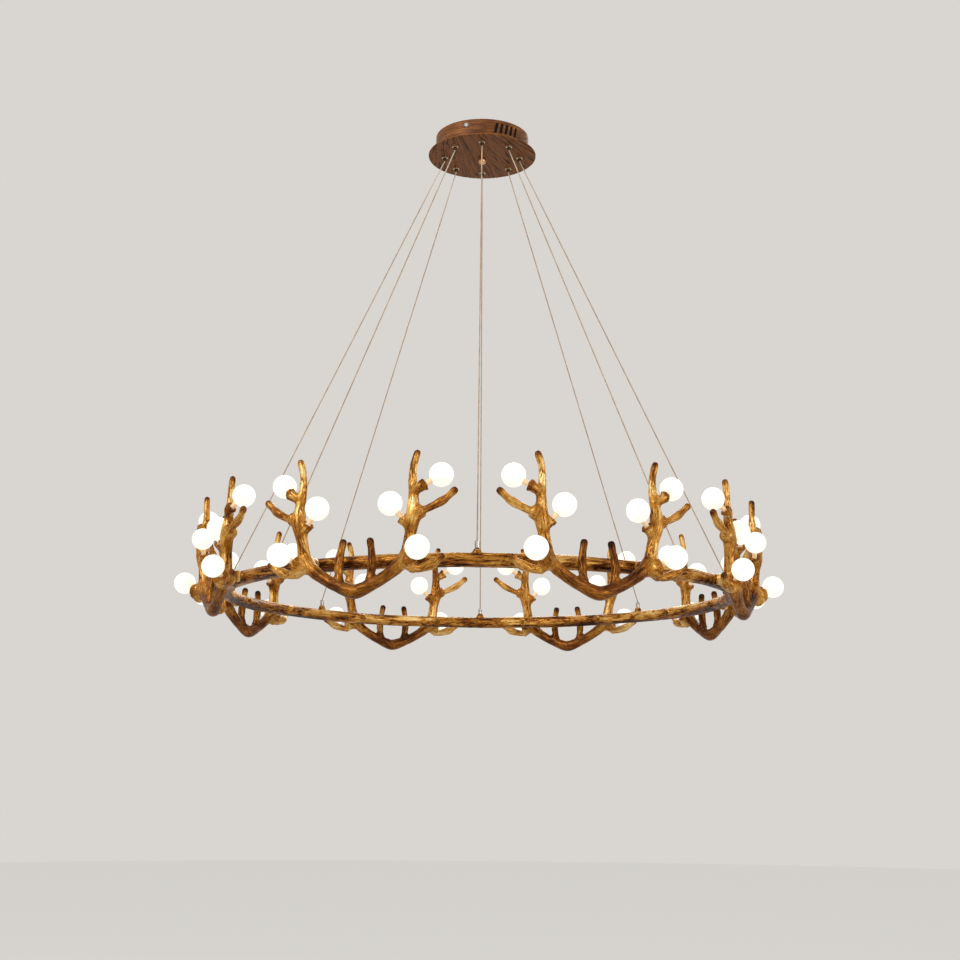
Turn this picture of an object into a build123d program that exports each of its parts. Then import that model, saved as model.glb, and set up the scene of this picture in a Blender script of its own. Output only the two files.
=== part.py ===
from build123d import *
from math import sqrt
import os

# Antler chandelier: a branch-like ring with eight pairs of antlers and forty-eight globe
# lamps, hung on eight straight cables from a round ceiling canopy. Millimetres, +Z up. The
# origin is the centre of the ceiling face, so the whole light lies below Z = 0. Azimuths are
# counted from the front (-Y) towards +X.

# Layout
pair_count = 8
ring_radius = 500.0
ring_drop = 938.0
tube_radius = 12.0
canopy_turn = -19.5
half_turn = 180.0
quarter_turn = half_turn / 2

# Joints of the ring, which is cast as four quarters. Each joint lies behind an antler pair
# that is screwed to both quarters, and has a dowel inside it.
dowel_radius = 6.0
dowel_length = 24.0
dowel_root = 5.0
cut_margin = 40.0

# Canopy
canopy_height = 42.0
drum_radius = 98.0
drum_wall = 1.5
face_overhang = 16.0
face_thickness = 4.0
face_rim = 1.2
spigot_height = 6.0
spigot_wall = 2.0
vent_count = 5
vent_pitch = 6.8
vent_azimuth = 31.0
vent_width = 6.0
vent_height = 22.0
vent_lean = 12.0
vent_rise = 24.0

# Ceiling bracket and its screws
strap_width = 28.0
strap_thickness = 2.5
ear_height = 22.0
ceiling_hole_radius = 2.75
ceiling_hole_spacing = 120.0
side_screw_drop = 11.0
side_screw_radius = 2.0
side_head_radius = 5.5
side_head_height = 2.6
side_screw_reach = 7.0

# Centre rod and nuts
rod_radius = 5.0
lock_nut_height = 5.0
lock_nut_width = 16.0
cap_nut_radius = 8.5
cap_collar_height = 2.5
cap_thread_depth = 8.0

# Electrical gear inside the canopy
driver_length = 104.0
driver_width = 34.0
driver_height = 24.0
driver_offset = 36.0
driver_corner = 3.0
terminal_length = 40.0
terminal_width = 18.0
terminal_height = 16.0
terminal_offset = 34.0
terminal_ways = 3
terminal_hole_radius = 2.0

# Cables and their end fittings
gland_inset = 18.5
gland_flange_radius = 6.5
gland_flange_height = 2.0
gland_nose_radius = 4.0
gland_nose_height = 7.0
gland_stem_radius = 3.0
gland_nut_width = 10.0
gland_nut_height = 3.0
cable_radius = 1.1
boss_base_radius = 13.0
boss_top_radius = 5.2
boss_height = 20.5
gripper_radius = 4.2
gripper_height = 12.0
gripper_stud_radius = 2.0
gripper_stud_length = 8.0

# Antler seats on the ring: a flat pad, a lug on the casting and a screw from inside the ring.
# Reaches outward and inward are counted from the ring's centreline at the pair's middle.
seat_offset = 91.0
seat_reach = 6.0
seat_radius = 10.0
lug_root_reach = 32.0
head_pad_radius = 7.0
head_pad_reach = -23.5
mount_screw_radius = 2.5
mount_screw_bite = 12.0
mount_head_radius = 4.6
mount_head_height = 3.2

# Lamps
globe_radius = 20.5
neck_length = 12.5
neck_top_radius = 5.0
neck_base_radius = 4.2
holder_radius = 6.0
holder_depth = 12.0
blade_width = 7.0
blade_thickness = 2.0
blade_length = 6.0
mouth_radius = 9.2
mouth_recess = 1.0

# Clearances
slip = 0.3
thread_gap = 0.1
hole_gap = 0.25

# Places that follow from the sizes above
ring_z = -(canopy_height + ring_drop)
face_underside = -canopy_height
face_top = face_underside + face_thickness
gland_tip = face_underside - gland_flange_height - gland_nose_height
gripper_seat = ring_z + boss_height
screw_grip = seat_reach - head_pad_reach
gripper_top = gripper_seat + gripper_height
pair_step = 360.0 / pair_count
cable_azimuths = [pair_step * k for k in range(pair_count)]
pair_azimuths = [pair_step * (k + 0.5) for k in range(pair_count)]
joint_azimuths = pair_azimuths[::2]
drum_bore = drum_radius - drum_wall
face_radius = drum_radius + face_overhang
gland_circle_radius = drum_radius - gland_inset
vents_z = face_underside + vent_rise
side_screw_z = -side_screw_drop

# Antler form in the pair's own frame: X along the tangent, Y outward from the ring's
# centreline, Z above the ring's plane, then the section's radius. One half of the yoke and
# beam, from the lowest point to the top tine's end; the other half is its mirror image.
beam_line = [
    (0, 32, -53.5, 12.4),
    (17, 32, -49.0, 11.6),
    (43, 32, -37.5, 10.5),
    (69, 32, -22.5, 10.6),
    (87, 32, -7.0, 11.8),
    (96, 32, 9.0, 11.2),
    (101, 33, 34.0, 9.6),
    (107, 36, 64.0, 12.4),
    (107, 34, 92.0, 9.4),
    (105, 32, 114.0, 8.2),
    (103.5, 31, 137.0, 5.7),
    (105.5, 31, 158.0, 5.3),
    (110.5, 30, 174.5, 4.6),
]
side_tine_line = [
    (107, 35, 68.0, 9.0),
    (124, 34, 77.0, 7.2),
    (144, 31, 84.0, 5.8),
    (164, 25, 97.0, 5.3),
    (176, 23, 108.0, 4.9),
]
lower_tine_line = [
    (91, 36, -10.0, 9.5),
    (109, 37, -18.5, 7.8),
    (128, 34, -18.5, 6.6),
    (149, 33, -10.5, 5.5),
    (160, 36, -2.5, 4.5),
]
inner_tine_line = [
    (29, 32, -47.0, 10.4),
    (29.5, 32, -36.0, 9.2),
    (30, 32, -26.0, 7.0),
    (31, 31, -7.0, 5.7),
    (28.5, 29, 15.0, 5.3),
    (25.5, 28, 31.0, 4.9),
]

# Each lamp socket: the point on the beam that its stub grows from, the centre of its mouth,
# and the centre of the globe, in the same frame.
sockets = [
    ((106, 33, 106), (126.5, 32, 120), (150.5, 16, 138.5)),
    ((105, 36, 50), (88.5, 37, 64.5), (68.5, 44, 89.5)),
    ((94, 35, -6), (106, 43.5, -2.5), (129, 63, 10.5)),
]


def local(x, y, z):
    """A point of the pair's own frame, with the pair at the front of the ring."""
    return Vector(x, -(ring_radius + y), ring_z + z)


def mirrored(stations):
    return [(-x, y, z, r) for x, y, z, r in stations]


def heading(points, index):
    """Direction of the path at a station, from the stations before and after it."""
    before = points[max(index - 1, 0)]
    after = points[min(index + 1, len(points) - 1)]
    return (after - before).normalized()


def section(centre, direction, radius):
    plane = Plane(origin=centre, x_dir=(0, -1, 0), z_dir=direction)
    return plane * Circle(radius)


def limb(stations, round_start=False):
    """A branch lofted through round sections that stand square to its path, with a rounded tip."""
    points = [local(x, y, z) for x, y, z, r in stations]
    directions = [heading(points, index) for index in range(len(points))]
    sizes = [station[3] for station in stations]
    faces = [section(p, d, r) for p, d, r in zip(points, directions, sizes)]
    if round_start:
        faces = tip_sections(points[0], directions[0] * -1, sizes[0], -1)[::-1] + faces
    faces += tip_sections(points[-1], directions[-1], sizes[-1], 1)
    return loft(faces)


def tip_sections(centre, outward, radius, sense):
    """Shrinking sections that round off a limb's end."""
    steps = [(0.55, 0.86), (0.92, 0.48)]
    return [section(centre + outward * (radius * ahead), outward * sense, radius * share)
            for ahead, share in steps]


def along(start, direction, radius, length):
    """A cylinder from a point along a direction."""
    plane = Plane(origin=start, z_dir=direction)
    return extrude(plane * Circle(radius), amount=length)


def hexagon(width, height, base_z):
    """A hexagonal nut blank on the axis, with its underside at base_z."""
    profile = RegularPolygon(width / sqrt(3), 6)
    return Pos(0, 0, base_z) * extrude(profile, amount=height)


def at_azimuth(solid, azimuth):
    return Rot(0, 0, azimuth) * solid


def socket_frames(side):
    """Root, mouth centre and outward direction of a side's three lamp sockets."""
    frames = []
    for root, mouth, globe in sockets:
        root_point = local(side * root[0], root[1], root[2])
        mouth_point = local(side * mouth[0], mouth[1], mouth[2])
        globe_point = local(side * globe[0], globe[1], globe[2])
        frames.append((root_point, mouth_point, (globe_point - mouth_point).normalized()))
    return frames


all_socket_frames = socket_frames(1) + socket_frames(-1)


def socket_stub(root, mouth, direction):
    """The burr that grows out of the beam and flares to a lamp socket's mouth."""
    throat = mouth - direction * holder_depth
    base = section(root, (throat - root).normalized() + direction * 0.4, mouth_radius * 0.86)
    waist = section(throat, direction, mouth_radius * 0.92)
    rim = section(mouth, direction, mouth_radius)
    return loft([base, waist, rim])


def antler_pair():
    """One casting: a yoke under the ring that carries two branching antlers."""
    casting = limb(mirrored(beam_line)[:0:-1] + beam_line, round_start=True)
    branches = []
    for side in (1, -1):
        for line in (side_tine_line, lower_tine_line, inner_tine_line):
            branches.append(limb(line if side > 0 else mirrored(line)))
        lug_root = local(side * seat_offset, lug_root_reach, 0)
        branches.append(along(lug_root, (0, 1, 0), seat_radius, lug_root_reach - seat_reach))
    branches += [socket_stub(*frame) for frame in all_socket_frames]
    casting = casting.fuse(*branches)
    for side in (1, -1):
        hole_start = local(side * seat_offset, seat_reach + mount_screw_bite, 0)
        hole = along(hole_start, (0, 1, 0), mount_screw_radius + thread_gap, mount_screw_bite)
        casting -= hole
    for root, mouth, direction in all_socket_frames:
        drill_start = mouth + direction * neck_length
        drill_depth = neck_length + holder_depth + mouth_recess
        casting -= along(drill_start, direction * -1, holder_radius + slip, drill_depth)
    return casting


def lamp_holder(mouth, direction):
    """A round lamp holder at the bottom of its socket, with a slot for the lamp's blade."""
    floor = mouth - direction * (holder_depth + mouth_recess)
    plane = Plane(origin=floor, z_dir=direction)
    body = extrude(plane * Circle(holder_radius), amount=holder_depth)
    top = plane.offset(holder_depth)
    slot = top * Rectangle(blade_width + 2 * slip, blade_thickness + 2 * slip)
    return body - extrude(slot, amount=-(blade_length + slip))


def lamp_neck(mouth, direction):
    """The lamp's moulded base: a flared neck on the holder, with a flat blade below it."""
    plane = Plane(origin=mouth - direction * mouth_recess, z_dir=direction)
    foot = plane * Circle(neck_base_radius)
    head = plane.offset(neck_length + mouth_recess) * Circle(neck_top_radius)
    blade = extrude(plane * Rectangle(blade_width, blade_thickness), amount=-blade_length)
    return loft([foot, head]) + blade


def lamp_globe(mouth, direction):
    """A glass globe, cut flat where it is sealed to its neck."""
    seat = mouth + direction * neck_length
    centre_rise = sqrt(globe_radius**2 - neck_top_radius**2)
    start = (neck_top_radius, 0)
    side = (globe_radius, centre_rise)
    pole = (0, centre_rise + globe_radius)
    outline = ThreePointArc(start, side, pole)
    closing = Polyline(pole, (0, 0), start)
    profile = make_face([outline, closing])
    globe = revolve(Plane.XZ * profile, axis=Axis.Z)
    return Plane(origin=seat, z_dir=direction) * globe


def whole_ring():
    """The round branch that carries everything, with cable bosses and antler pads."""
    ring = Pos(0, 0, ring_z) * Torus(ring_radius, tube_radius)
    boss = Pos(0, 0, ring_z + boss_height / 2) * Cone(boss_base_radius, boss_top_radius, boss_height)
    stud_hole_depth = gripper_stud_length + slip
    hole = Pos(0, 0, gripper_seat - stud_hole_depth / 2) * Cylinder(
        gripper_stud_radius + thread_gap, stud_hole_depth)
    place = Pos(0, -ring_radius, 0)
    added = [at_azimuth(place * boss, a) for a in cable_azimuths]
    removed = [at_azimuth(place * hole, a) for a in cable_azimuths]
    core_reach = sqrt(ring_radius**2 - seat_offset**2) - ring_radius
    for side in (1, -1):
        middle = local(side * seat_offset, core_reach, 0)
        pad = along(middle, (0, -1, 0), seat_radius, seat_reach - core_reach)
        head_pad = along(middle, (0, 1, 0), head_pad_radius, core_reach - head_pad_reach)
        bore_start = local(side * seat_offset, seat_reach, 0)
        bore = along(bore_start, (0, 1, 0), mount_screw_radius + hole_gap, screw_grip)
        added += [at_azimuth(s, a) for a in pair_azimuths for s in (pad, head_pad)]
        removed += [at_azimuth(bore, a) for a in pair_azimuths]
    return ring.fuse(*added).cut(*removed)


def ring_quarter(ring, azimuth):
    """The quarter of the ring that starts at a joint, with a dowel at its far end that goes
    into the next quarter."""
    reach = ring_radius + cut_margin
    block = Pos(reach / 2, -reach / 2, ring_z) * Box(reach, reach, 2 * cut_margin)
    face_centre = Vector(0, -ring_radius, ring_z)
    hole = along(face_centre, (1, 0, 0), dowel_radius + slip, dowel_length + slip)
    root_centre = face_centre - Vector(dowel_root, 0, 0)
    dowel = along(root_centre, (1, 0, 0), dowel_radius, dowel_root + dowel_length)
    quarter = (ring & at_azimuth(block, azimuth)) - at_azimuth(hole, azimuth)
    return quarter + at_azimuth(dowel, azimuth + quarter_turn)


def mount_screw(side):
    """Pan-head screw through the ring into an antler's lug."""
    seat = local(side * seat_offset, head_pad_reach, 0)
    head = along(seat, (0, 1, 0), mount_head_radius, mount_head_height)
    head = fillet(head.edges().sort_by(Axis.Y)[-1], mount_head_height * 0.6)
    length = screw_grip + mount_screw_bite - slip
    return head + along(seat, (0, -1, 0), mount_screw_radius, length)


def cable_gripper():
    """Turned cable end on a ring boss: chamfered body, with a stud below."""
    middle = Pos(0, -ring_radius, gripper_seat)
    body = Pos(0, 0, gripper_height / 2) * Cylinder(gripper_radius, gripper_height)
    body = chamfer(body.edges().group_by(Axis.Z)[-1], 1.2)
    stud = Pos(0, 0, -gripper_stud_length / 2) * Cylinder(gripper_stud_radius, gripper_stud_length)
    return middle * (body + stud)


def cable_gland():
    """Gland under the canopy face: flange, tapered nose, stem and the nut on top."""
    stem_top = face_top + gland_nut_height + 1.5
    nose_end = gland_nose_radius * 0.75
    outline = Polyline(
        (0, gland_tip),
        (nose_end, gland_tip),
        (gland_nose_radius, gland_tip + 2.0),
        (gland_nose_radius, face_underside - gland_flange_height),
        (gland_flange_radius, face_underside - gland_flange_height),
        (gland_flange_radius, face_underside),
        (gland_stem_radius, face_underside),
        (gland_stem_radius, stem_top),
        (0, stem_top),
        close=True,
    )
    body = revolve(Plane.XZ * make_face(outline), axis=Axis.Z)
    return Pos(0, -gland_circle_radius, 0) * body


def gland_nut():
    nut = hexagon(gland_nut_width, gland_nut_height, face_top)
    bore = Pos(0, 0, face_top + gland_nut_height / 2) * Cylinder(
        gland_stem_radius + thread_gap, gland_nut_height)
    return Pos(0, -gland_circle_radius, 0) * (nut - bore)


def suspension_cable(azimuth):
    """A taut cable from the gland's tip down to the gripper, with level ends."""
    top = Pos(0, -gland_circle_radius, gland_tip) * Circle(cable_radius)
    run = Vector(0, gland_circle_radius - ring_radius, gripper_top - gland_tip)
    return at_azimuth(extrude(top, amount=run.length, dir=run.normalized()), azimuth)


def canopy_drum():
    """Open drum between the ceiling and the face, with slanted vents and side screw holes."""
    height = canopy_height - face_thickness
    middle = Pos(0, 0, face_top + height / 2)
    drum = middle * (Cylinder(drum_radius, height) - Cylinder(drum_bore, height))
    rim = drum.faces().sort_by(Axis.Z)[0].outer_wire().edges()
    drum = fillet(rim, drum_wall * 0.5)
    slot = Box(vent_width, 6 * drum_wall, vent_height)
    slot = fillet(slot.edges().filter_by(Axis.Y), vent_width * 0.2)
    slot = Rot(0, vent_lean, 0) * slot
    middle_index = (vent_count - 1) / 2
    for index in range(vent_count):
        azimuth = vent_azimuth + vent_pitch * (index - middle_index)
        drum -= at_azimuth(Pos(0, -drum_radius, vents_z) * slot, azimuth)
    hole = along((0, 0, side_screw_z), (0, -1, 0), side_screw_radius + hole_gap, 2 * drum_radius)
    for turn in (canopy_turn, canopy_turn + half_turn):
        drum -= at_azimuth(hole, turn)
    return drum


def canopy_face():
    """Round face with a locating spigot, the centre hole and a hole for each gland."""
    disc = Pos(0, 0, face_underside + face_thickness / 2) * Cylinder(face_radius, face_thickness)
    disc = fillet(disc.edges(), face_rim)
    spigot_outer = drum_bore - slip
    spigot = Cylinder(spigot_outer, spigot_height) - Cylinder(spigot_outer - spigot_wall, spigot_height)
    disc += Pos(0, 0, face_top + spigot_height / 2) * spigot
    through = 4 * face_thickness
    disc -= Pos(0, 0, face_top) * Cylinder(rod_radius + hole_gap, through)
    gland_hole = Pos(0, -gland_circle_radius, face_top) * Cylinder(gland_stem_radius + hole_gap, through)
    for azimuth in cable_azimuths:
        disc -= at_azimuth(gland_hole, azimuth)
    return disc


def ceiling_bracket():
    """Steel strap against the ceiling, with an ear bent down at each end for a side screw."""
    reach = sqrt((drum_bore - slip) ** 2 - (strap_width / 2) ** 2)
    inner = reach - strap_thickness
    outline = Polyline(
        (-reach, 0),
        (reach, 0),
        (reach, -ear_height),
        (inner, -ear_height),
        (inner, -strap_thickness),
        (-inner, -strap_thickness),
        (-inner, -ear_height),
        (-reach, -ear_height),
        close=True,
    )
    strap = extrude(Plane.YZ * make_face(outline), amount=strap_width / 2, both=True)
    outer_bends = strap.edges().filter_by(Axis.X).group_by(Axis.Z)[-1]
    strap = fillet(outer_bends, strap_thickness)
    strap -= Cylinder(rod_radius + hole_gap, 4 * strap_thickness)
    for end in (1, -1):
        place = Pos(0, end * ceiling_hole_spacing / 2, 0)
        strap -= place * Cylinder(ceiling_hole_radius, 4 * strap_thickness)
    strap -= along((0, -drum_radius, side_screw_z), (0, 1, 0),
                   side_screw_radius + thread_gap, 2 * drum_radius)
    return at_azimuth(strap, canopy_turn)


def side_screw():
    """Pan-head screw through the drum's wall into the bracket's ear."""
    head_seat = Vector(0, -drum_radius, side_screw_z)
    head = along(head_seat, (0, -1, 0), side_head_radius, side_head_height)
    head = fillet(head.edges().sort_by(Axis.Y)[0], side_head_height * 0.7)
    return head + along(head_seat, (0, 1, 0), side_screw_radius, side_screw_reach)


def centre_rod():
    """Threaded rod from the ceiling bracket through the face into the cap nut."""
    length = canopy_height + cap_thread_depth - slip
    return Pos(0, 0, -length / 2) * Cylinder(rod_radius, length)


def lock_nuts():
    """Nuts on the rod: one under the strap, one on top of the face."""
    nuts = []
    for base in (-strap_thickness - lock_nut_height, face_top):
        nut = hexagon(lock_nut_width, lock_nut_height, base)
        bore = Pos(0, 0, base + lock_nut_height / 2) * Cylinder(rod_radius + thread_gap, lock_nut_height)
        nuts.append(nut - bore)
    return nuts


def cap_nut():
    """Ball-shaped cap nut on a short collar under the face."""
    centre = face_underside - cap_collar_height - cap_nut_radius * 0.55
    ball = Pos(0, 0, centre) * Sphere(cap_nut_radius)
    collar_middle = face_underside - cap_collar_height / 2
    upper = Pos(0, 0, collar_middle) * Cylinder(cap_nut_radius * 0.8, cap_collar_height)
    width = 4 * cap_nut_radius
    above = Pos(0, 0, face_underside + cap_nut_radius) * Box(width, width, 2 * cap_nut_radius)
    bore = Pos(0, 0, face_underside - cap_thread_depth / 2) * Cylinder(
        rod_radius + thread_gap, cap_thread_depth)
    return (ball + upper) - above - bore


def lamp_driver():
    """Closed plastic box of the low-voltage supply, standing on the face."""
    box = Box(driver_width, driver_length, driver_height)
    box = fillet(box.edges().filter_by(Axis.Z), driver_corner)
    box = Pos(driver_offset, 0, face_top + driver_height / 2) * box
    return at_azimuth(box, canopy_turn)


def terminal_block():
    """Moulded block with a row of wire entries, for the supply at the ceiling."""
    block = Box(terminal_width, terminal_length, terminal_height)
    pitch = terminal_length / terminal_ways
    for index in range(terminal_ways):
        shift = pitch * (index - (terminal_ways - 1) / 2)
        entry = Rot(0, 90, 0) * Cylinder(terminal_hole_radius, terminal_width)
        block -= Pos(0, shift, 0) * entry
    block = Pos(-terminal_offset, 0, face_top + terminal_height / 2) * block
    return at_azimuth(block, canopy_turn)


def write(name, solids):
    """Write one node, as a single solid or as a group of separate solids."""
    shape = solids[0] if len(solids) == 1 else Compound(children=list(solids))
    shape.label = name
    export_step(shape, f"parts/{name}.step")


def as_solids(shape):
    return list(shape.solids())


def build():
    os.makedirs("parts", exist_ok=True)
    write("ceiling_bracket", as_solids(ceiling_bracket()))
    write("canopy_drum", as_solids(canopy_drum()))
    write("canopy_face", as_solids(canopy_face()))
    screws = [at_azimuth(side_screw(), canopy_turn + turn) for turn in (0, half_turn)]
    write("canopy_side_screws", [s.solid() for s in screws])
    write("centre_rod", as_solids(centre_rod()))
    write("centre_lock_nuts", [nut.solid() for nut in lock_nuts()])
    write("centre_cap_nut", as_solids(cap_nut()))
    write("lamp_driver", as_solids(lamp_driver()))
    write("terminal_block", as_solids(terminal_block()))
    write("cable_glands", [at_azimuth(cable_gland(), a).solid() for a in cable_azimuths])
    write("cable_gland_nuts", [at_azimuth(gland_nut(), a).solid() for a in cable_azimuths])
    ring = whole_ring()
    for number, azimuth in enumerate(joint_azimuths, start=1):
        write(f"ring_quarter_{number}", as_solids(ring_quarter(ring, azimuth)))
    write("ring_cable_grippers", [at_azimuth(cable_gripper(), a).solid() for a in cable_azimuths])
    screws = [at_azimuth(mount_screw(side), a).solid() for a in pair_azimuths for side in (1, -1)]
    write("antler_mount_screws", screws)
    for number, azimuth in enumerate(cable_azimuths, start=1):
        write(f"suspension_cable_{number}", as_solids(suspension_cable(azimuth)))
    casting = antler_pair()
    holders = [lamp_holder(mouth, way) for root, mouth, way in all_socket_frames]
    necks = [lamp_neck(mouth, way) for root, mouth, way in all_socket_frames]
    globes = [lamp_globe(mouth, way) for root, mouth, way in all_socket_frames]
    for number, azimuth in enumerate(pair_azimuths, start=1):
        write(f"antler_pair_{number}", as_solids(at_azimuth(casting, azimuth)))
        write(f"lamp_holders_{number}", [at_azimuth(s, azimuth).solid() for s in holders])
        write(f"lamp_necks_{number}", [at_azimuth(s, azimuth).solid() for s in necks])
        write(f"lamp_globes_{number}", [at_azimuth(s, azimuth).solid() for s in globes])


build()
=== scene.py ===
from math import cos, radians, sin

import bmesh
import bpy
import numpy as np
from mathutils import Matrix, Vector


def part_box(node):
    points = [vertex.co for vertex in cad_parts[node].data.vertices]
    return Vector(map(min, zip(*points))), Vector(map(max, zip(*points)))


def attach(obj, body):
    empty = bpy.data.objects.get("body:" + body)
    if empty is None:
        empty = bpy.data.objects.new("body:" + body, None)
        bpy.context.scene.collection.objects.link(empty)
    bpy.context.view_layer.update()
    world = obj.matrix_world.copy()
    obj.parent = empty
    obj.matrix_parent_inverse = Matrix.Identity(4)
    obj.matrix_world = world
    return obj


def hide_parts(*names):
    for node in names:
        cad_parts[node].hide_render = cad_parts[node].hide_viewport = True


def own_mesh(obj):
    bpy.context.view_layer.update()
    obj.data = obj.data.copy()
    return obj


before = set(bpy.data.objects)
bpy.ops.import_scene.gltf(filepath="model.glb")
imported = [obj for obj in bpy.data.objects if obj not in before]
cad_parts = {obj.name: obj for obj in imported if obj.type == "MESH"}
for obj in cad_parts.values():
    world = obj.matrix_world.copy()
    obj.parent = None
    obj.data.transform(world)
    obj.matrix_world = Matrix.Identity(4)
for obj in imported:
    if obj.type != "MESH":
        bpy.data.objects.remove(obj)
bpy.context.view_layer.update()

# ---------------------------------------------------------------------------------------
# Ceiling bracket, centre rod and lock nuts. Strap and nuts are pressed mild steel with a
# dull zinc coat, whose crystals give a faint blue-grey cloud. Two screws hold the strap
# overhead, and the rod hangs from its middle.

MM = 0.001


def linear(code):
    """Linear colour with full alpha from an sRGB hex code."""
    parts = [int(code[i:i + 2], 16) / 255 for i in (0, 2, 4)]
    return [p / 12.92 if p <= 0.04045 else ((p + 0.055) / 1.055) ** 2.4 for p in parts] + [1.0]


def add(tree, kind, inputs=None, stops=None, **settings):
    """One node with its settings. Inputs are linked where they are sockets, else set."""
    node = tree.nodes.new(kind)
    for name, value in settings.items():
        setattr(node, name, value)
    if stops:
        elements = node.color_ramp.elements
        elements.remove(elements[1])
        elements[0].position, elements[0].color = stops[0][0], linear(stops[0][1])
        for position, code in stops[1:]:
            elements.new(position).color = linear(code)
    for name, value in (inputs or {}).items():
        if isinstance(value, bpy.types.NodeSocket):
            tree.links.new(value, node.inputs[name])
        else:
            node.inputs[name].default_value = value
    return node


def finish(name, **constants):
    """A new material, its tree and its shader, with constant values on the shader's sockets."""
    material = bpy.data.materials.new(name)
    material.use_nodes = True
    tree = material.node_tree
    shader = tree.nodes["Principled BSDF"]
    for key, value in constants.items():
        shader.inputs[key.replace("_", " ")].default_value = value
    return material, tree, shader


def dress(material, *names):
    """Puts a material on CAD nodes whose shape is kept."""
    for name in names:
        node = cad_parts[name]
        node.data.materials.clear()
        node.data.materials.append(material)


def zinc_plated_steel():
    """Bright zinc plate: cool grey with crystal clouds about 6 mm wide."""
    material, tree, shader = finish("zinc_plated_steel", Metallic=1.0)
    place = add(tree, "ShaderNodeTexCoord").outputs["Object"]
    cloud = add(tree, "ShaderNodeTexNoise", {"Vector": place, "Scale": 1 / (6 * MM), "Detail": 3.0})
    tone = add(tree, "ShaderNodeValToRGB", {0: cloud.outputs[0]},
               stops=[(0.3, "9CA1A4"), (0.7, "B6BBBD")])
    rough = add(tree, "ShaderNodeMapRange", {0: cloud.outputs[0], 3: 0.32, 4: 0.5})
    tree.links.new(tone.outputs[0], shader.inputs["Base Color"])
    tree.links.new(rough.outputs[0], shader.inputs["Roughness"])
    return material


dress(zinc_plated_steel(), "ceiling_bracket", "centre_rod", "centre_lock_nuts")

# ---------------------------------------------------------------------------------------
# Lamp driver and terminal block, inside the canopy. The driver is an ABS box moulded with a
# fine spark-eroded grain, drawn near black as painted shade behind the vents. The terminal
# block is natural nylon, a little yellow.


def moulded_plastic(name, pale, deep, rough, grain):
    """Moulded plastic with an eroded grain of that many millimetres."""
    material, tree, shader = finish(name, IOR=1.5, Roughness=rough)
    place = add(tree, "ShaderNodeTexCoord").outputs["Object"]
    speckle = add(tree, "ShaderNodeTexNoise", {"Vector": place, "Scale": 1 / (grain * MM), "Detail": 2.0})
    tone = add(tree, "ShaderNodeValToRGB", {0: speckle.outputs[0]}, stops=[(0.35, deep), (0.65, pale)])
    bump = add(tree, "ShaderNodeBump",
               {"Height": speckle.outputs[0], "Strength": 0.15, "Distance": 0.1 * MM})
    tree.links.new(tone.outputs[0], shader.inputs["Base Color"])
    tree.links.new(bump.outputs[0], shader.inputs["Normal"])
    return material


# The driver's near black is painted shade behind the vents.
dress(moulded_plastic("moulded_grey_abs", "202020", "161616", 0.5, 0.6), "lamp_driver")
dress(moulded_plastic("natural_nylon", "E6E0D0", "D9D2BE", 0.4, 0.8), "terminal_block")

# ---------------------------------------------------------------------------------------
# Canopy drum. A rolled steel band that carries a brushed-on wood grain: orange-brown paint
# with darker lines round it, and a painted highlight in gold on its lower rim.

drum_low, drum_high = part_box("canopy_drum")
drum_radius, drum_bottom = drum_high[0], drum_low[2]
drum_wall = 1.5 * MM
highlight_rim = 3 * MM


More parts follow.
